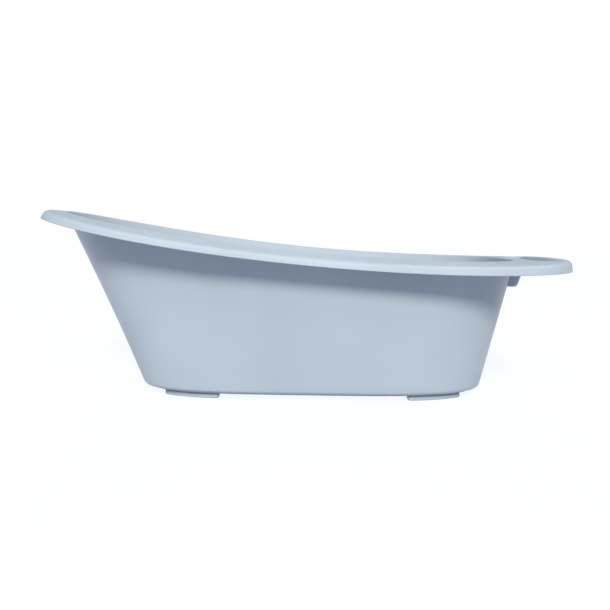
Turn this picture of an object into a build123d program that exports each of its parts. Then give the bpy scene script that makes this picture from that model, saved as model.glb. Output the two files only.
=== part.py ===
"""Baby bathtub: a moulded tub on four soft feet, with a screwed drain and a lift-out plug.

Millimetres. +X runs from the high head end to the low foot end, +Z is up, and the origin
is on the floor under the middle of the tub.
"""
from build123d import *
import os
from math import cos, hypot, pi, sin

os.makedirs("parts", exist_ok=True)

# ---- outlines: half width, head end x, foot end x, widest x, head power, foot power ----
LIP = (265.0, -490.0, 490.0, -96.0, 2.1, 3.2)        # the outer edge of the rim's lip
CREST = (232.5, -448.0, 391.0, -57.0, 2.05, 3.0)     # the wall's outer face, where it meets the rim
BASE = (160.0, -289.0, 335.0, 23.0, 4.0, 3.4)        # the wall's outer face, at the bottom

# ---- driving dimensions ----
WALL = 3.0                  # plastic thickness of walls, floor and rim
LIP_Z, LIP_TILT, LIP_SAG = 239.0, -0.085, 1.3e-4     # lip height along x: a tilted, sagging line
RIM_H = 20.5                # from the lip's bottom edge up to the rim's crest
CREST_BEAD = 1.0            # the wall's top edge stands this far above the rim's flange
FLANGE_DROP, SIDE_DROP = 4.5, 5.0        # the flange's fall from crest to lip, and what the sides add
FOOT_LIFT = 4.0             # how much less the flange falls at the foot end
LIP_SLANT, HEAD_SLANT = 3.0, 6.0         # how far the lip leans in going up, and what the head end adds
FOOT_H = 8.0                # soft foot, from the floor up
RING_Z = 9.0                # bottom of the ring that stiffens the base
RING_INSET = 10.0           # how far the ring stands in from the wall's outer face
WALL_Z = 12.0               # bottom of the wall
WALL_ROUND = 5.0            # radius round the wall's bottom edge
FLOOR_Z = 18.0              # inside face of the floor
FLOOR_ROUND = 10.0          # radius where the floor meets the wall, inside
TOP_Z = 345.0               # a level above the whole rim, where the raw wall ends
CUT_X, CUT_Y, CUT_Z = 600.0, 300.0, 405.0     # reach of the cut along the crest, past the tub all round
CUT_STEPS = 3               # spans of the cut's curve on each side of the middle
TOLERANCE = 0.1             # for choosing a face by its height
OUTLINE_POINTS = 48         # points round an outline
RIM_STATIONS = 25           # rim sections along one side, from foot end to head end

# ---- the wide flange at the foot end ----
DISH = (438.0, 50.0, 236.0, 20.0)        # soap dish: middle x, length, width, corner radius
DISH_Z = 233.0              # the dish's floor, inside
DISH_RIM_Z = 241.5          # where the dish's walls end inside the flange
GRIP_Z = 196.0              # bottom of the hand grip, a rib hanging from the flange
GRIP_LOW = (400.0, 70.0)    # its outer x and half width at the bottom
GRIP_TOP_Z = 243.0          # its top, inside the flange
GRIP_HIGH = (412.0, 77.0)   # and its outer x and half width there
GRIP_ROOT_X = 350.0         # its legs run in to here and end in the wall

# ---- feet ----
FOOT_X = (-190.0, 237.0)    # middle of the head and the foot pair
FOOT_L = 98.0
FOOT_W = 24.0
FOOT_INSET = 11.0           # from the wall's outer face at the bottom
FOOT_CHAMFER = 1.5
PEG_R, PEG_H, PEG_PITCH = 4.0, 5.5, 50.0
PEG_END_GAP = 0.5           # above a peg, in its hole
SEAT_MARGIN = 1.0           # a moulded seat is this much smaller than its foot, all round
SEAT_TOP_Z = 16.0           # the seats run up into the floor

# ---- drain ----
DRAIN_X = 252.0
WELL_R, WELL_DEPTH = 36.0, 3.5           # shallow well in the floor
WELL_Z = FLOOR_Z - WELL_DEPTH            # the well's floor, inside
THROAT_R, TUBE_R = 18.0, 21.0            # inside and outside of the drain's tube
DRAIN_FLANGE_R, DRAIN_FLANGE_T = 33.0, 2.5
TUBE_END_Z = 4.5                         # the tube's lower end
DRAIN_FLANGE_EDGE = 1.0
BAR_W, BAR_H, BAR_PITCH, BAR_COUNT = 3.0, 2.5, 9.0, 4
BAR_END = 1.0                            # the bars end this far inside the tube's outer face
GASKET_R, GASKET_T = 29.0, 1.5
NUT_R, NUT_T, NUT_NOTCHES, NUT_NOTCH_R = 31.0, 4.5, 8, 3.5
NUT_EDGE = 0.6

# ---- plug ----
PLUG_GAP = 0.3                           # all round the plug in its seat
PLUG_Z = WELL_Z + DRAIN_FLANGE_T + PLUG_GAP
PLUG_R, PLUG_T, PLUG_EDGE = 24.0, 2.7, 1.0    # the disc on top
PLUG_H, PLUG_LEAD = 8.0, 1.5             # the body below it, and its tapered tip
DISC_Z = PLUG_Z + PLUG_T
EYE_R, EYE_W, EYE_HOLE_R = 5.0, 6.0, 2.5
RING_R, RING_WIRE_R = 11.0, 1.5          # pull ring: middle radius and wire radius
RING_Z_MIDDLE = DISC_Z + 3.0             # the ring's middle level, lying flat


def lip_z(x):
    """Height of the lip's bottom edge at x."""
    return LIP_Z + LIP_TILT * x + LIP_SAG * x * x


def outline_point(shape, turn, inset=0.0):
    """A point of a rounded outline; turn 0 is the foot end and pi the head end."""
    half_width, head_x, foot_x, wide_x, head_power, foot_power = shape
    c, s = cos(turn), sin(turn)
    reach, power = (foot_x - wide_x, foot_power) if c > 0 else (wide_x - head_x, head_power)
    grow = (abs(c) ** power + abs(s) ** power) ** (-1 / power)
    return wide_x + (reach - inset) * c * grow, (half_width - inset) * s * grow


def turns():
    """Evenly spaced turns round an outline."""
    return [2 * pi * k / OUTLINE_POINTS for k in range(OUTLINE_POINTS)]


def base_outline(inset):
    """The base outline, drawn in by inset."""
    return [outline_point(BASE, turn, inset) for turn in turns()]


def wall_outline(level, inset):
    """The wall's outline at a level: straight lines run from the base up through the crest."""
    points = []
    for turn in turns():
        base_x, base_y = outline_point(BASE, turn, inset)
        crest_x, crest_y = outline_point(CREST, turn, inset)
        rise = (level - WALL_Z) / (lip_z(crest_x) + RIM_H - WALL_Z)
        points.append((base_x + (crest_x - base_x) * rise, base_y + (crest_y - base_y) * rise))
    return points


def base_y(x, inset):
    """Half width of the base outline at x, drawn in by inset."""
    half_width, head_x, foot_x, wide_x, head_power, foot_power = BASE
    reach, power = (foot_x - wide_x, foot_power) if x > wide_x else (wide_x - head_x, head_power)
    return (half_width - inset) * (1 - abs((x - wide_x) / (reach - inset)) ** power) ** (1 / power)


def closed_curve(points):
    """A smooth closed curve through points, for make_face."""
    with BuildLine() as curve:
        Spline(points, periodic=True)
    return curve.line.edges()


def foot_sketch(middle_x, side, margin):
    """A foot's plan: a stretch of the base outline's band, drawn in by margin."""
    with BuildSketch() as plan:
        make_face(closed_curve(base_outline(FOOT_INSET + margin)))
        make_face(closed_curve(base_outline(FOOT_INSET + FOOT_W - margin)), mode=Mode.SUBTRACT)
        with Locations((middle_x, side * BASE[0] / 2)):
            Rectangle(FOOT_L - 2 * margin, BASE[0], mode=Mode.INTERSECT)
    return plan.sketch


def peg_points(middle_x, side):
    """Where a foot's two pegs stand, along the middle of its band."""
    xs = (middle_x - PEG_PITCH / 2, middle_x + PEG_PITCH / 2)
    return [(x, side * base_y(x, FOOT_INSET + FOOT_W / 2)) for x in xs]


def drain_plane(level):
    """A level plane centred on the drain."""
    return Plane((DRAIN_X, 0, level))


def rim_station(turn):
    """The rim's section at one turn: its plane, and its corners in that plane.

    The section starts inside the wall, a little below its top edge, and follows its lean.
    """
    crest_x, crest_y = outline_point(CREST, turn)
    lip_x, lip_y = outline_point(LIP, turn)
    base_x, base_y = outline_point(BASE, turn)
    width = hypot(lip_x - crest_x, lip_y - crest_y)
    out_x, out_y = (lip_x - crest_x) / width, (lip_y - crest_y) / width
    lean = hypot(crest_x - base_x, crest_y - base_y) / (lip_z(crest_x) + RIM_H - WALL_Z)
    flange_drop = FLANGE_DROP + SIDE_DROP * sin(turn) ** 2 - FOOT_LIFT * max(0.0, cos(turn)) ** 2
    slant = LIP_SLANT + HEAD_SLANT * max(0.0, -cos(turn)) ** 2
    corners = [
        (-WALL / 2 - lean * CREST_BEAD, CREST_BEAD), (width - slant, flange_drop),
        (width, RIM_H), (width - WALL, RIM_H), (width - slant - WALL, flange_drop + WALL),
        (-WALL / 2 - lean * (CREST_BEAD + WALL), CREST_BEAD + WALL),
    ]
    plane = Plane(origin=(crest_x, crest_y, 0), x_dir=(out_x, out_y, 0), z_dir=(out_y, -out_x, 0))
    return plane, [(u, lip_z(crest_x + u * out_x) + RIM_H - drop) for u, drop in corners]


# ---- the tub ----
with BuildPart() as tub_shell:
    for level in (WALL_Z, TOP_Z):
        with BuildSketch(Plane.XY.offset(level)):
            make_face(closed_curve(wall_outline(level, 0.0)))
    loft(ruled=True)
    fillet(tub_shell.faces().sort_by(Axis.Z)[0].edges(), WALL_ROUND)

    # the stiffening ring under the base
    with BuildSketch(Plane.XY.offset(RING_Z)):
        make_face(closed_curve(base_outline(RING_INSET)))
    extrude(amount=FLOOR_Z - RING_Z)
    with BuildSketch(Plane.XY.offset(RING_Z)):
        make_face(closed_curve(base_outline(RING_INSET + WALL)))
    extrude(amount=FLOOR_Z - WALL - RING_Z, mode=Mode.SUBTRACT)

    # the hand grip under the foot flange
    for level, (outer_x, half_width) in ((GRIP_Z, GRIP_LOW), (GRIP_TOP_Z, GRIP_HIGH)):
        with BuildSketch(Plane.XY.offset(level)):
            with BuildLine():
                Polyline(
                    (GRIP_ROOT_X, half_width), (outer_x, half_width),
                    (outer_x, -half_width), (GRIP_ROOT_X, -half_width),
                    (GRIP_ROOT_X, WALL - half_width), (outer_x - WALL, WALL - half_width),
                    (outer_x - WALL, half_width - WALL), (GRIP_ROOT_X, half_width - WALL),
                    close=True,
                )
            make_face()
    loft(ruled=True)

    # the inside
    for level in (FLOOR_Z, TOP_Z + 1):
        with BuildSketch(Plane.XY.offset(level)):
            make_face(closed_curve(wall_outline(level, WALL)))
    loft(ruled=True, mode=Mode.SUBTRACT)
    floor_face = tub_shell.faces().filter_by_position(Axis.Z, FLOOR_Z - TOLERANCE, FLOOR_Z + TOLERANCE)[0]
    fillet(floor_face.outer_wire().edges(), FLOOR_ROUND)

    # cut the wall off along the rim's crest
    with BuildSketch(Plane.XZ):
        with BuildLine():
            cut_line = [CUT_X * k / CUT_STEPS for k in range(-CUT_STEPS, CUT_STEPS + 1)]
            Spline([(x, lip_z(x) + RIM_H) for x in cut_line])
            Polyline(
                (CUT_X, lip_z(CUT_X) + RIM_H), (CUT_X, CUT_Z),
                (-CUT_X, CUT_Z), (-CUT_X, lip_z(-CUT_X) + RIM_H),
            )
        make_face()
    extrude(amount=CUT_Y, both=True, mode=Mode.SUBTRACT)

    # the rim, one half at a time
    for side in (1, -1):
        for k in range(RIM_STATIONS):
            plane, corners = rim_station(side * pi * k / (RIM_STATIONS - 1))
            with BuildSketch(plane):
                with BuildLine():
                    Polyline(corners, close=True)
                make_face()
        loft()

    # soap dish in the foot flange
    dish_x, dish_l, dish_w, dish_r = DISH
    with BuildSketch(Plane.XY.offset(DISH_Z - WALL)):
        with Locations((dish_x, 0)):
            RectangleRounded(dish_l + 2 * WALL, dish_w + 2 * WALL, dish_r + WALL)
    extrude(amount=DISH_RIM_Z - DISH_Z + WALL)
    with BuildSketch(Plane.XY.offset(DISH_Z)):
        with Locations((dish_x, 0)):
            RectangleRounded(dish_l, dish_w, dish_r)
    extrude(amount=TOP_Z - DISH_Z, mode=Mode.SUBTRACT)

    # seats for the four feet, with a blind hole for each peg
    for middle_x in FOOT_X:
        for side in (1, -1):
            with BuildSketch(Plane.XY.offset(FOOT_H)):
                add(foot_sketch(middle_x, side, SEAT_MARGIN))
            extrude(amount=SEAT_TOP_Z - FOOT_H)
            with BuildSketch(Plane.XY.offset(FOOT_H)):
                with Locations(*peg_points(middle_x, side)):
                    Circle(PEG_R)
            extrude(amount=PEG_H + PEG_END_GAP, mode=Mode.SUBTRACT)

    # the drain's well, and the hole through its floor
    with BuildSketch(drain_plane(WELL_Z - WALL)):
        Circle(WELL_R + WALL)
    extrude(amount=WELL_DEPTH)
    with BuildSketch(drain_plane(WELL_Z)):
        Circle(WELL_R)
    extrude(amount=WELL_DEPTH, mode=Mode.SUBTRACT)
    with BuildSketch(drain_plane(WELL_Z - WALL)):
        Circle(TUBE_R)
    extrude(amount=WALL, mode=Mode.SUBTRACT)

tub_shell.part.label = "tub_shell"
export_step(tub_shell.part, "parts/tub_shell.step")

# ---- four soft feet, each with two pegs in its seat ----
for end, middle_x in zip(("head", "foot"), FOOT_X):
    for hand, side in (("left", 1), ("right", -1)):
        with BuildPart() as foot_pad:
            with BuildSketch():
                add(foot_sketch(middle_x, side, 0.0))
            extrude(amount=FOOT_H)
            chamfer(foot_pad.faces().sort_by(Axis.Z)[0].edges(), FOOT_CHAMFER)
            with BuildSketch(Plane.XY.offset(FOOT_H)):
                with Locations(*peg_points(middle_x, side)):
                    Circle(PEG_R)
            extrude(amount=PEG_H)
        name = f"foot_{end}_{hand}"
        foot_pad.part.label = name
        export_step(foot_pad.part, f"parts/{name}.step")

# ---- the drain's body: flange, tube and strainer bars ----
with BuildPart() as drain_body:
    with BuildSketch(drain_plane(TUBE_END_Z)):
        Circle(TUBE_R)
    extrude(amount=WELL_Z + DRAIN_FLANGE_T - TUBE_END_Z)
    with BuildSketch(drain_plane(WELL_Z)):
        Circle(DRAIN_FLANGE_R)
    extrude(amount=DRAIN_FLANGE_T)
    chamfer(drain_body.faces().sort_by(Axis.Z)[-1].edges(), DRAIN_FLANGE_EDGE)
    with BuildSketch(drain_plane(TUBE_END_Z)):
        Circle(THROAT_R)
    extrude(amount=WELL_Z + DRAIN_FLANGE_T - TUBE_END_Z, mode=Mode.SUBTRACT)
    with BuildSketch(drain_plane(TUBE_END_Z)):
        with GridLocations(BAR_PITCH, 0, BAR_COUNT, 1):
            Rectangle(BAR_W, 2 * TUBE_R)
        Circle(TUBE_R - BAR_END, mode=Mode.INTERSECT)
    extrude(amount=BAR_H)
drain_body.part.label = "drain_body"
export_step(drain_body.part, "parts/drain_body.step")

# ---- gasket and nut, under the floor ----
with BuildPart() as drain_gasket:
    with BuildSketch(drain_plane(WELL_Z - WALL - GASKET_T)):
        Circle(GASKET_R)
        Circle(TUBE_R, mode=Mode.SUBTRACT)
    extrude(amount=GASKET_T)
drain_gasket.part.label = "drain_gasket"
export_step(drain_gasket.part, "parts/drain_gasket.step")

with BuildPart() as drain_nut:
    with BuildSketch(drain_plane(WELL_Z - WALL - GASKET_T - NUT_T)):
        Circle(NUT_R)
        Circle(TUBE_R, mode=Mode.SUBTRACT)
        with PolarLocations(NUT_R, NUT_NOTCHES):
            Circle(NUT_NOTCH_R, mode=Mode.SUBTRACT)
    extrude(amount=NUT_T)
    chamfer(drain_nut.faces().sort_by(Axis.Z)[0].outer_wire().edges(), NUT_EDGE)
drain_nut.part.label = "drain_nut"
export_step(drain_nut.part, "parts/drain_nut.step")

# ---- the plug, with an eye on top for its pull ring ----
plug_section = Plane(origin=(DRAIN_X, 0, 0), x_dir=(1, 0, 0), z_dir=(0, -1, 0))
body_r = THROAT_R - PLUG_GAP
with BuildPart() as drain_plug:
    with BuildSketch(plug_section):
        with BuildLine():
            Polyline(
                (0, PLUG_Z - PLUG_H), (body_r - PLUG_LEAD, PLUG_Z - PLUG_H),
                (body_r, PLUG_Z - PLUG_H + 2 * PLUG_LEAD), (body_r, PLUG_Z),
                (PLUG_R, PLUG_Z), (PLUG_R, DISC_Z - PLUG_EDGE), (PLUG_R - PLUG_EDGE, DISC_Z),
                (0, DISC_Z), close=True,
            )
        make_face()
    revolve(axis=Axis((DRAIN_X, 0, 0), (0, 0, 1)))
    with BuildSketch(plug_section):
        with Locations((0, RING_Z_MIDDLE)):
            Circle(EYE_R)
        with Locations((0, RING_Z_MIDDLE - EYE_R / 2)):
            Rectangle(2 * EYE_R, EYE_R)
    extrude(amount=EYE_W / 2, both=True)
    with BuildSketch(plug_section):
        with Locations((0, RING_Z_MIDDLE)):
            Circle(EYE_HOLE_R)
    extrude(amount=EYE_W, both=True, mode=Mode.SUBTRACT)
drain_plug.part.label = "drain_plug"
export_step(drain_plug.part, "parts/drain_plug.step")

# ---- the pull ring, lying flat, threaded through the eye ----
with BuildPart() as plug_ring:
    with Locations((DRAIN_X + RING_R, 0, RING_Z_MIDDLE)):
        Torus(RING_R, RING_WIRE_R)
plug_ring.part.label = "plug_ring"
export_step(plug_ring.part, "parts/plug_ring.step")
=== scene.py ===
"""Looks of the baby bathtub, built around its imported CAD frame.

Lengths are worked out in millimetres, as in the part's own drawing, and written to the
meshes in metres. +X runs from the head end to the foot end, and +Z is up.
"""

import math

import bpy
import numpy as np
from mathutils import Matrix, Vector


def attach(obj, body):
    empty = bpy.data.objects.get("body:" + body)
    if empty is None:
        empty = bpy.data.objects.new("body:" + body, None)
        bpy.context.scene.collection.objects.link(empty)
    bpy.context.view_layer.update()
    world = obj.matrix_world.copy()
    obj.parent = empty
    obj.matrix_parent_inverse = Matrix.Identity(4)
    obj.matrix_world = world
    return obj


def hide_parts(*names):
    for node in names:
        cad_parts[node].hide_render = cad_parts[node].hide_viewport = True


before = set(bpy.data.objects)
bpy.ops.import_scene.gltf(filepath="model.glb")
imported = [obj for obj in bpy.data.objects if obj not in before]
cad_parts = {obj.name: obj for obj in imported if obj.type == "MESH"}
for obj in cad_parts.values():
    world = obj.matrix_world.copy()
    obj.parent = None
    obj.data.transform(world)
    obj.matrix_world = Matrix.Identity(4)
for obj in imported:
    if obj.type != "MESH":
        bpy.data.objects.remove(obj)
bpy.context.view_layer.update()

MM = 0.001
# outlines: half width, head end x, foot end x, widest x, head power, foot power
LIP = (265.0, -490.0, 490.0, -96.0, 2.1, 3.2)
CREST = (232.5, -448.0, 391.0, -57.0, 2.05, 3.0)
BASE = (160.0, -289.0, 335.0, 23.0, 4.0, 3.4)

# ---- the tub's wall and rim ----
WALL = 3.0                               # plastic thickness
LIP_Z, LIP_TILT, LIP_SAG = 239.0, -0.085, 1.3e-4
RIM_H = 20.5                             # from the lip's bottom edge up to the crest
FLANGE_DROP, SIDE_DROP = 4.5, 5.0        # the flange's fall from crest to lip, and what the sides add
FOOT_LIFT = 4.0                          # how much less the flange falls at the foot end
LIP_SLANT, HEAD_SLANT = 3.0, 6.0         # how far the lip leans in going up, and what the head end adds
ROOT_DROP = 4.0                          # from the crest down to where flange and wall meet outside
RING_Z, WALL_Z, FLOOR_Z = 9.0, 12.0, 18.0
RING_INSET = 10.0
COLUMN_STEP, DISH_STEP = 6.0, 1.6        # spacing of mesh columns along the lip, and past the soap dish
LIP_SAMPLES, CORNER_SAMPLES = 7201, 200  # points that measure along the lip, and round a foot-end corner
CREASE = 35.0                            # edges sharper than this, in degrees, aren't shaded smooth

# ---- soap dish and hand grip in the foot flange ----
DISH = (438.0, 50.0, 236.0, 20.0)        # middle x, length, width, corner radius
DISH_Z = 233.0
DISH_SLOPE, DISH_EDGE = 7.0, 2.0         # width of the dish's sloping side, and how much of it is outside
GRIP_Z, GRIP_TOP_Z = 196.0, 243.0
GRIP_LOW, GRIP_HIGH = (400.0, 70.0), (412.0, 77.0)   # outer x and half width, bottom and top
GRIP_CORNER, GRIP_TOE = 14.0, 9.0        # corner radius in plan, and of the front's bottom edge
GRIP_STEPS = 8                           # mesh steps round a corner, along a leg and up the sides
GRIP_EDGE_START = 0.03                   # the sides' lowest mesh row, as a share of the height
GRIP_EDGE = ((0.008, 0.3), (0.0, 0.9))   # below it, share and inset of the rounded bottom edge

# ---- drain and feet ----
DRAIN_X = 252.0
WELL_R, WELL_DEPTH, TUBE_R = 36.0, 3.5, 21.0
WELL_LEAN = 1.0                          # the well is this much narrower at its floor, and wider above
FOOT_X, FOOT_L, FOOT_W, FOOT_INSET, FOOT_H = (-190.0, 237.0), 98.0, 24.0, 11.0, 8.0
FOOT_CORNER, FOOT_EDGE = 5.0, 2.2        # corner radius in plan, and of the bottom edge
FOOT_TOP_EDGE = 0.5                      # bevel of the top edge
FOOT_STEPS, FOOT_SIDE_STEPS = 5, 15      # mesh steps round a corner or edge, and along a side
SEAT_MARGIN, SEAT_TOP_Z = 1.0, 16.0


# ---------------------------------------------------------------- outlines
def outline(shape, turn, inset=0.0):
    """x and y of a rounded outline at each turn; turn 0 is the foot end and pi the head end."""
    half_width, head_x, foot_x, wide_x, head_power, foot_power = shape
    c, s = np.cos(turn), np.sin(turn)
    reach = np.where(c > 0, foot_x - wide_x, wide_x - head_x) - inset
    power = np.where(c > 0, foot_power, head_power)
    grow = (np.abs(c) ** power + np.abs(s) ** power) ** (-1 / power)
    return np.stack([wide_x + reach * c * grow, (half_width - inset) * s * grow], axis=1)


def column_turns():
    """Turns of the mesh columns, evenly spaced along the lip, and closer where it passes the dish."""
    fine = np.linspace(-np.pi, np.pi, LIP_SAMPLES)
    points = outline(LIP, fine)
    middle = (points[1:] + points[:-1]) / 2
    past_dish = (middle[:, 0] > 0) & (np.abs(middle[:, 1]) < DISH[2] / 2 + DISH[3])
    step = np.where(past_dish, DISH_STEP, COLUMN_STEP)
    run = np.concatenate([[0], np.cumsum(np.hypot(*np.diff(points, axis=0).T) / step)])
    count = int(run[-1])
    return np.interp(np.arange(count) / count * run[-1], run, fine)


def lip_z(x):
    """Height of the lip's bottom edge at x: a tilted line that sags."""
    return LIP_Z + LIP_TILT * x + LIP_SAG * x * x


def at_level(points, z):
    """Outline points lifted to height z, a number or one number for each point."""
    return np.column_stack([points, np.broadcast_to(z, len(points))])


def circle(radius, turn):
    """x and y of a circle round the drain at each turn."""
    return np.stack([DRAIN_X + radius * np.cos(turn), radius * np.sin(turn)], axis=1)


def base_half(x, inset):
    """Half width of the base outline at x, drawn in by inset."""
    half_width, head_x, foot_x, wide_x, head_power, foot_power = BASE
    reach = np.where(x > wide_x, foot_x - wide_x, wide_x - head_x) - inset
    power = np.where(x > wide_x, foot_power, head_power)
    return (half_width - inset) * (1 - np.abs((x - wide_x) / reach) ** power) ** (1 / power)


def rounded_rectangle(length, width, radius, steps):
    """Points round a rounded rectangle, counterclockwise from its first corner."""
    arc = np.linspace(0, np.pi / 2, steps + 1)
    corners = []
    for k, (sx, sy) in enumerate(((1, 1), (-1, 1), (-1, -1), (1, -1))):
        middle = (sx * (length / 2 - radius), sy * (width / 2 - radius))
        turn = arc + k * np.pi / 2
        corners.append(np.stack([np.cos(turn), np.sin(turn)], axis=1) * radius + middle)
    return np.concatenate(corners)


# ---------------------------------------------------------------- mesh helpers
def unit(v):
    """Each row of v at length 1."""
    return v / np.maximum(np.linalg.norm(v, axis=1, keepdims=True), 1e-9)


def round_corner(before, corner, after, setback, steps):
    """Rows of a circular fillet at a corner, setback along both of its legs."""
    a, b = unit(before - corner), unit(after - corner)
    half_turn = np.arccos(np.clip(-(a * b).sum(1), -1, 1)) / 2
    weight = np.cos(half_turn)[:, None]
    start, end = corner + a * setback, corner + b * setback
    rows = []
    for t in np.linspace(0, 1, steps + 1):
        w0, w1, w2 = (1 - t) ** 2, 2 * t * (1 - t) * weight, t * t
        rows.append((w0 * start + w1 * corner + w2 * end) / (w0 + w1 + w2))
    return rows


def profile_rows(corners):
    """Mesh rows round a closed profile, each with the name of the corner before it.

    A corner is (name, its points, fillet setback, fillet steps, straight steps after it).
    """
    count = len(corners)
    filleted = []
    for k, (_, points, setback, steps, _) in enumerate(corners):
        before, after = corners[k - 1][1], corners[(k + 1) % count][1]
        filleted.append(round_corner(before, points, after, setback, steps) if setback else [points])
    rows = []
    for k, (name, _, _, _, steps) in enumerate(corners):
        start, end = filleted[k][-1], filleted[(k + 1) % count][0]
        straight = [start + (end - start) * j / steps for j in range(1, steps)]
        rows += [(name, row) for row in filleted[k] + straight]
    return rows


def new_object(name, verts, faces):
    """A mesh object from points in millimetres."""
    mesh = bpy.data.meshes.new(name)
    mesh.from_pydata((np.asarray(verts) * MM).tolist(), [], faces)
    mesh.validate()
    obj = bpy.data.objects.new(name, mesh)
    bpy.context.scene.collection.objects.link(obj)
    return obj


def quads(rows, columns, rows_close, columns_close):
    """Faces of a grid of points; a direction that closes joins its end to its start."""
    faces = []
    for i in range(rows if rows_close else rows - 1):
        k = (i + 1) % rows
        for j in range(columns if columns_close else columns - 1):
            m = (j + 1) % columns
            faces.append((i * columns + j, i * columns + m, k * columns + m, k * columns + j))
    return faces


def stacked(name, rings):
    """A closed solid from rings of points stacked along it, with a flat face on each end."""
    count, columns = len(rings), len(rings[0])
    faces = quads(count, columns, False, True)
    faces.append(tuple(reversed(range(columns))))
    faces.append(tuple(range((count - 1) * columns, count * columns)))
    return new_object(name, np.concatenate(rings), faces)


def outward(obj):
    """Turn the faces of a closed mesh outward."""
    mesh = obj.data
    co = np.array([v.co for v in mesh.vertices])
    volume = 0.0
    mesh.calc_loop_triangles()
    for tri in mesh.loop_triangles:
        a, b, c = (co[i] for i in tri.vertices)
        volume += float(np.dot(a, np.cross(b, c)))
    if volume < 0:
        mesh.flip_normals()
    return obj


def add_to(obj, extra):
    """Union another closed solid into obj."""
    union = obj.modifiers.new("union", "BOOLEAN")
    union.operation = "UNION"
    union.solver = "MANIFOLD"
    union.object = extra
    depsgraph = bpy.context.evaluated_depsgraph_get()
    result = bpy.data.meshes.new_from_object(obj.evaluated_get(depsgraph))
    obj.modifiers.clear()
    obj.data = result
    bpy.data.objects.remove(extra)


def finish_piece(obj, body, material, node):
    """Smooth shading up to the crease angle, a material, and the piece's place in the frame."""
    obj.data.materials.clear()
    obj.data.materials.append(material)
    obj.data.shade_smooth()
    obj.data.set_sharp_from_angle(angle=math.radians(CREASE))
    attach(obj, body)
    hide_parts(node)


# ---------------------------------------------------------------- the tub
def press_dish(points, floor_z, grow):
    """Press the soap dish into flange points; grow widens its outline, for the underside."""
    middle_x, length, width, corner = DISH
    dx = np.abs(points[:, 0] - middle_x) - (length / 2 - corner)
    dy = np.abs(points[:, 1]) - (width / 2 - corner)
    outside = np.hypot(np.maximum(dx, 0), np.maximum(dy, 0)) + np.minimum(np.maximum(dx, dy), 0) - corner
    t = np.clip((grow + DISH_EDGE - outside) / DISH_SLOPE, 0, 1)
    points[:, 2] += (floor_z - points[:, 2]) * t * t * (3 - 2 * t)


def tub_profile():
    """The tub's closed profile at every column, from the drain hole round to it again."""
    turn = column_turns()
    crest, lip, base = outline(CREST, turn), outline(LIP, turn), outline(BASE, turn)
    crest_z = lip_z(crest[:, 0]) + RIM_H
    width = np.linalg.norm(lip - crest, axis=1)
    out = (lip - crest) / width[:, None]
    slant = LIP_SLANT + HEAD_SLANT * np.maximum(0, -np.cos(turn)) ** 2
    foot_lift = FOOT_LIFT * np.maximum(0, np.cos(turn)) ** 2
    flange_drop = FLANGE_DROP + SIDE_DROP * np.sin(turn) ** 2 - foot_lift

    def rim(u, drop):
        """Points u outside the crest and drop below the crest's level."""
        points = crest + out * np.broadcast_to(u, len(turn))[:, None]
        return at_level(points, lip_z(points[:, 0]) + RIM_H - drop)

    def base_at(inset, z):
        """The base outline drawn in by inset, at height z."""
        return at_level(outline(BASE, turn, inset), z)

    def well_at(radius, z):
        """A circle round the drain at height z."""
        return at_level(circle(radius, turn), z)

    share = (ROOT_DROP / (crest_z - WALL_Z))[:, None]
    root = at_level(crest, crest_z) * (1 - share) + at_level(base, WALL_Z) * share
    well_z, under_z = FLOOR_Z - WELL_DEPTH, FLOOR_Z - WALL
    ring_in = RING_INSET + WALL
    # name, points, fillet setback, fillet steps, straight steps after it
    corners = [
        ("hole", well_at(TUBE_R, well_z), 0, 0, 2),
        ("well", well_at(WELL_R - WELL_LEAN, well_z), 1.5, 3, 1),
        ("well_edge", well_at(WELL_R + WELL_LEAN, FLOOR_Z), 1.5, 3, 12),
        ("floor", base_at(WALL, FLOOR_Z), 14.0, 8, 18),
        ("crest", at_level(outline(CREST, turn, WALL), crest_z), 3.0, 6, 60),
        ("lip_top", rim(width - slant, flange_drop), 6.0, 8, 3),
        ("lip", rim(width, RIM_H), 1.4, 4, 1),
        ("lip_inside", rim(width - WALL, RIM_H), 1.4, 4, 3),
        ("under_lip", rim(width - slant - WALL, flange_drop + WALL), 3.0, 4, 44),
        ("root", root, 4.0, 4, 22),
        ("wall", base_at(0.0, WALL_Z), 7.0, 7, 1),
        ("ring_root", base_at(RING_INSET, WALL_Z), 0.6, 2, 1),
        ("ring", base_at(RING_INSET, RING_Z), 0.8, 3, 1),
        ("ring_inside", base_at(ring_in, RING_Z), 0.8, 3, 2),
        ("under_floor", base_at(ring_in, under_z), 1.0, 3, 12),
        ("under_well", well_at(WELL_R + WALL, under_z), 0.8, 2, 1),
        ("well_bottom", well_at(WELL_R + WALL, well_z - WALL), 0.8, 2, 2),
        ("hole_bottom", well_at(TUBE_R, well_z - WALL), 0, 0, 2),
    ]
    rows = profile_rows(corners)
    for name, row in rows:
        if name == "crest":
            press_dish(row, DISH_Z, 0.0)
        if name == "under_lip":
            press_dish(row, DISH_Z - WALL, WALL)
    return [row for _, row in rows]


def wall_x(y, z):
    """Where the middle of the foot end's wall is, at a width and a height."""
    turn = np.linspace(0, np.pi / 2, CORNER_SAMPLES)
    base, crest = outline(BASE, turn), outline(CREST, turn)
    rise = (z - WALL_Z) / (lip_z(crest[:, 0]) + RIM_H - WALL_Z)
    points = base + (crest - base) * rise[:, None]
    return np.interp(y, points[:, 1], points[:, 0]) - WALL / 2


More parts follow.
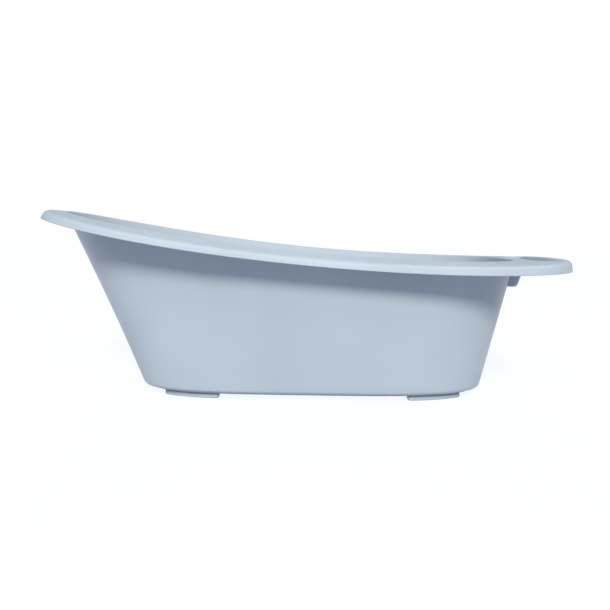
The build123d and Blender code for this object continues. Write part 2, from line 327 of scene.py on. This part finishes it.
def grip_path(root_x, outer_x, half_width, corner):
    """The hand grip's U in plan, from one root round the front to the other."""
    arc = np.linspace(0, np.pi / 2, GRIP_STEPS + 1)
    middle = (outer_x - corner, half_width - corner)
    bend = np.stack([np.sin(arc), np.cos(arc)], axis=1) * corner + middle
    leg_x = np.linspace(root_x, bend[0, 0], GRIP_STEPS)[:-1]
    leg = np.stack([leg_x, np.full(len(leg_x), half_width)], axis=1)
    half = np.concatenate([leg, bend, [[outer_x, (half_width - corner) / 2]]])
    return np.concatenate([half, [[outer_x, 0.0]], half[::-1] * (1, -1)])


def hand_grip():
    """The rib that hangs below the foot flange: a U of plastic, open below, with a rounded toe."""
    def face(share, inset):
        """A mesh row at a share of the height, drawn in by inset from the outer face."""
        outer_x = GRIP_LOW[0] + (GRIP_HIGH[0] - GRIP_LOW[0]) * share - inset
        half_width = GRIP_LOW[1] + (GRIP_HIGH[1] - GRIP_LOW[1]) * share - inset
        root_x = wall_x(half_width, GRIP_Z + (GRIP_TOP_Z - GRIP_Z) * share)
        path = grip_path(root_x, outer_x, half_width, GRIP_CORNER - inset)
        past = np.clip(path[:, 0] - (outer_x - GRIP_TOE), 0, GRIP_TOE)
        rise = GRIP_TOE - np.sqrt(GRIP_TOE ** 2 - past ** 2)
        low = GRIP_Z + rise
        return at_level(path, low + (GRIP_TOP_Z - low) * share)

    shares = np.linspace(1, GRIP_EDGE_START, GRIP_STEPS + 1)
    rows = [face(share, 0.0) for share in shares]
    rows += [face(share, inset) for share, inset in GRIP_EDGE]
    rows += [face(share, WALL - inset) for share, inset in reversed(GRIP_EDGE)]
    rows += [face(share, WALL) for share in shares[::-1]]
    count, columns = len(rows), len(rows[0])
    faces = quads(count, columns, True, False)
    faces.append(tuple(i * columns for i in range(count)))
    faces.append(tuple(i * columns + columns - 1 for i in reversed(range(count))))
    return outward(new_object("grip", np.concatenate(rows), faces))


def foot_ring(middle_x, side, margin, z, radius):
    """A ring round a foot at height z, following the base's outline."""
    plan = rounded_rectangle(FOOT_L - 2 * margin, FOOT_W - 2 * margin, radius, FOOT_STEPS)
    along = np.linspace(0, 1, FOOT_SIDE_STEPS + 1)[1:-1]
    corners = np.split(plan, 4)
    pieces = []
    for k, corner in enumerate(corners):
        following = corners[(k + 1) % 4][0]
        pieces.append(corner)
        if k % 2 == 0:      # a long side follows this corner
            pieces.append(corner[-1] + (following - corner[-1]) * along[:, None])
    plan = np.concatenate(pieces)
    x = middle_x + plan[:, 0]
    inset = FOOT_INSET + FOOT_W / 2 - plan[:, 1]
    return np.stack([x, side * base_half(x, inset), np.full(len(x), z)], axis=1)


def build_tub(material):
    """The tub as one closed mesh, with its hand grip and the seats for the feet joined on."""
    rows = tub_profile()
    faces = quads(len(rows), len(rows[0]), True, True)
    tub = outward(new_object("tub", np.concatenate(rows), faces))
    add_to(tub, hand_grip())
    for middle_x in FOOT_X:
        for side in (1, -1):
            levels = (FOOT_H, SEAT_TOP_Z)
            rings = [foot_ring(middle_x, side, SEAT_MARGIN, z, FOOT_CORNER) for z in levels]
            add_to(tub, outward(stacked("seat", rings)))
    finish_piece(tub, "tub", material, "tub_shell")


def build_feet(material):
    """Four soft feet with a rounded bottom edge and a fine bevel on top."""
    edge = np.linspace(0, np.pi / 2, FOOT_STEPS + 1)
    for end, middle_x in zip(("head", "foot"), FOOT_X):
        for hand, side in (("left", 1), ("right", -1)):
            rings = []
            for turn in edge:
                margin, z = FOOT_EDGE * (1 - np.sin(turn)), FOOT_EDGE * (1 - np.cos(turn))
                rings.append(foot_ring(middle_x, side, margin, z, FOOT_CORNER - margin / 2))
            rings.append(foot_ring(middle_x, side, 0.0, FOOT_H - FOOT_TOP_EDGE, FOOT_CORNER))
            rings.append(foot_ring(middle_x, side, FOOT_TOP_EDGE, FOOT_H, FOOT_CORNER))
            foot = outward(stacked(f"soft_foot_{end}_{hand}", rings))
            finish_piece(foot, "tub", material, f"foot_{end}_{hand}")


# ---------------------------------------------------------------- materials
NOISE_LOW, NOISE_HIGH = 0.3, 0.7         # most of a noise texture's values lie between these
CLOUD_SCALE, CLOUDING = 7.0, 0.035       # scale of the faint clouding, and how far it shifts the colour
GLOSS_SCALE = 35.0                       # scale of the uneven gloss
GRAIN_HEIGHT = 0.0004


def new_material(name):
    """A node material with its shader, and its node tree."""
    mat = bpy.data.materials.new(name)
    mat.use_nodes = True
    return mat, mat.node_tree


def noise(tree, scale, detail, place):
    """A noise texture in the object's own coordinates."""
    texture = tree.nodes.new("ShaderNodeTexNoise")
    texture.inputs["Scale"].default_value = scale
    texture.inputs["Detail"].default_value = detail
    tree.links.new(place.outputs["Object"], texture.inputs["Vector"])
    return texture


def ramp(tree, source, low, high):
    """A colour ramp from low to high over the middle of a texture's range."""
    node = tree.nodes.new("ShaderNodeValToRGB")
    node.color_ramp.elements[0].position = NOISE_LOW
    node.color_ramp.elements[1].position = NOISE_HIGH
    node.color_ramp.elements[0].color = (*low, 1)
    node.color_ramp.elements[1].color = (*high, 1)
    tree.links.new(source.outputs["Fac"], node.inputs["Fac"])
    return node


def remap(tree, source, low, high):
    """A number from low to high over the middle of a texture's range."""
    node = tree.nodes.new("ShaderNodeMapRange")
    node.inputs["From Min"].default_value = NOISE_LOW
    node.inputs["From Max"].default_value = NOISE_HIGH
    node.inputs["To Min"].default_value = low
    node.inputs["To Max"].default_value = high
    tree.links.new(source.outputs["Fac"], node.inputs["Value"])
    return node


def moulded(name, color, rough, grain, depth=0.05, specular=0.5):
    """Moulded plastic or rubber: faint clouding, uneven gloss and a fine grain.

    rough is the range of roughness, grain the grain's scale and depth its strength.
    """
    mat, tree = new_material(name)
    shader = tree.nodes["Principled BSDF"]
    place = tree.nodes.new("ShaderNodeTexCoord")
    color = np.array(color)
    clouds = noise(tree, CLOUD_SCALE, 3.0, place)
    clouds = ramp(tree, clouds, color * (1 - CLOUDING), color * (1 + CLOUDING))
    tree.links.new(clouds.outputs["Color"], shader.inputs["Base Color"])
    gloss = remap(tree, noise(tree, GLOSS_SCALE, 4.0, place), *rough)
    tree.links.new(gloss.outputs["Result"], shader.inputs["Roughness"])
    bump = tree.nodes.new("ShaderNodeBump")
    bump.inputs["Strength"].default_value = depth
    bump.inputs["Distance"].default_value = GRAIN_HEIGHT
    tree.links.new(noise(tree, grain, 2.0, place).outputs["Fac"], bump.inputs["Height"])
    tree.links.new(bump.outputs["Normal"], shader.inputs["Normal"])
    shader.inputs["Specular IOR Level"].default_value = specular
    return mat


TUB_BLUE = (0.233, 0.283, 0.368)
FOOT_BLUE = (0.220, 0.262, 0.325)
DRAIN_WHITE = (0.62, 0.66, 0.69)
PLUG_WHITE = (0.58, 0.62, 0.66)
SEAL_BLACK = (0.012, 0.012, 0.014)
MATERIALS = {
    "tub_plastic": moulded("tub_plastic", TUB_BLUE, rough=(0.30, 0.37), grain=260.0, specular=0.2),
    "foot_rubber": moulded("foot_rubber", FOOT_BLUE, rough=(0.50, 0.62), grain=520.0, depth=0.25),
    "drain_plastic": moulded("drain_plastic", DRAIN_WHITE, rough=(0.34, 0.44), grain=420.0, depth=0.12),
    "seal_rubber": moulded("seal_rubber", SEAL_BLACK, rough=(0.55, 0.70), grain=600.0, depth=0.3),
    "plug_rubber": moulded("plug_rubber", PLUG_WHITE, rough=(0.45, 0.58), grain=480.0, depth=0.2),
    "ring_plastic": moulded("ring_plastic", TUB_BLUE, rough=(0.30, 0.38), grain=300.0, specular=0.3),
}


def dress_cad_nodes():
    """Materials for the CAD nodes that stay as they are."""
    dress = {
        "drain_body": "drain_plastic", "drain_nut": "drain_plastic", "drain_gasket": "seal_rubber",
        "drain_plug": "plug_rubber", "plug_ring": "ring_plastic",
    }
    for node, material in dress.items():
        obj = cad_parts[node]
        obj.data.materials.clear()
        obj.data.materials.append(MATERIALS[material])


# ---------------------------------------------------------------- stage, light and camera
def build_floor():
    """A pale floor that glows like a light table, so that shadows on it stay soft."""
    reach = 30000.0      # far past the edge of the picture
    corners = [(x * reach, y * reach, 0) for x, y in ((-1, -1), (1, -1), (1, 1), (-1, 1))]
    floor = new_object("floor", corners, [(0, 1, 2, 3)])
    mat, tree = new_material("floor_paint")
    shader = tree.nodes["Principled BSDF"]
    shader.inputs["Base Color"].default_value = (0.05, 0.05, 0.05, 1)
    shader.inputs["Roughness"].default_value = 0.9
    shader.inputs["Specular IOR Level"].default_value = 0.0
    shader.inputs["Emission Color"].default_value = (0.97, 1.0, 1.04, 1)
    shader.inputs["Emission Strength"].default_value = 0.93
    floor.data.materials.append(mat)


def softbox(name, place, target, size, level, tint):
    """A rectangular light; level is the brightness of a white face at the target, turned to it."""
    way = Vector(target) - Vector(place)
    light = bpy.data.lights.new(name, "AREA")
    light.shape = "RECTANGLE"
    light.size, light.size_y = size
    light.energy = level * math.pi ** 2 * way.length_squared
    light.color = tint
    obj = bpy.data.objects.new(name, light)
    bpy.context.scene.collection.objects.link(obj)
    obj.location = place
    obj.rotation_euler = way.to_track_quat("-Z", "Y").to_euler()
    obj.visible_camera = False


def soft_sun(name, azimuth, elevation, spread, level, tint):
    """A distant soft light that leaves no glint; level is as for a softbox, angles in degrees.

    azimuth 0 is the camera's side, and spread is how wide the light looks from the object.
    """
    light = bpy.data.lights.new(name, "SUN")
    light.angle = math.radians(spread)
    light.energy = level * math.pi
    light.color = tint
    obj = bpy.data.objects.new(name, light)
    bpy.context.scene.collection.objects.link(obj)
    obj.visible_glossy = False
    turn, rise = math.radians(azimuth), math.radians(elevation)
    flat = math.cos(rise)
    towards = Vector((flat * math.sin(turn), -flat * math.cos(turn), math.sin(rise)))
    obj.rotation_euler = towards.to_track_quat("Z", "Y").to_euler()


def build_world():
    """White to the eye, and a dimmer room for the light that reaches the object."""
    world = bpy.data.worlds.new("room")
    world.use_nodes = True
    tree = world.node_tree
    seen = tree.nodes["Background"]
    seen.inputs["Color"].default_value = (1, 1, 1, 1)
    seen.inputs["Strength"].default_value = 1.0
    room = tree.nodes.new("ShaderNodeBackground")
    room.inputs["Color"].default_value = (0.74, 0.87, 1.0, 1)
    room.inputs["Strength"].default_value = 0.52
    rays = tree.nodes.new("ShaderNodeLightPath")
    mix = tree.nodes.new("ShaderNodeMixShader")
    tree.links.new(rays.outputs["Is Camera Ray"], mix.inputs["Fac"])
    tree.links.new(room.outputs["Background"], mix.inputs[1])
    tree.links.new(seen.outputs["Background"], mix.inputs[2])
    tree.links.new(mix.outputs["Shader"], tree.nodes["World Output"].inputs["Surface"])
    bpy.context.scene.world = world


def build_camera():
    """A camera that looks at the tub's side, from a little above it and turned slightly down."""
    distance, height, pitch, roll = 1.2303, 0.2874, 0.0546, 0.01515
    cam = bpy.data.cameras.new("camera")
    cam.sensor_width = 36.0
    cam.lens = 37.47
    cam.shift_x = 0.0051
    cam.shift_y = -0.0602
    obj = bpy.data.objects.new("camera", cam)
    bpy.context.scene.collection.objects.link(obj)
    aim = Matrix.Rotation(math.pi / 2 - pitch, 4, "X") @ Matrix.Rotation(roll, 4, "Z")
    obj.matrix_world = Matrix.Translation((0, -distance, height)) @ aim
    bpy.context.scene.camera = obj


build_camera()
build_floor()
build_world()
soft_sun("key_light", azimuth=0, elevation=38, spread=14, level=2.0, tint=(1.0, 0.91, 0.71))
soft_sun("back_light", azimuth=180, elevation=22, spread=30, level=0.55, tint=(0.95, 0.98, 1.0))
softbox(
    "sheen_box", place=(0.0, -1.25, 1.28), target=(0, -0.2, 0.2), size=(0.9, 0.5),
    level=0.3, tint=(1.0, 0.975, 0.94),
)
bpy.context.scene.view_settings.view_transform = "Standard"    # colours as set, with no film curve

build_tub(MATERIALS["tub_plastic"])
build_feet(MATERIALS["foot_rubber"])
dress_cad_nodes()
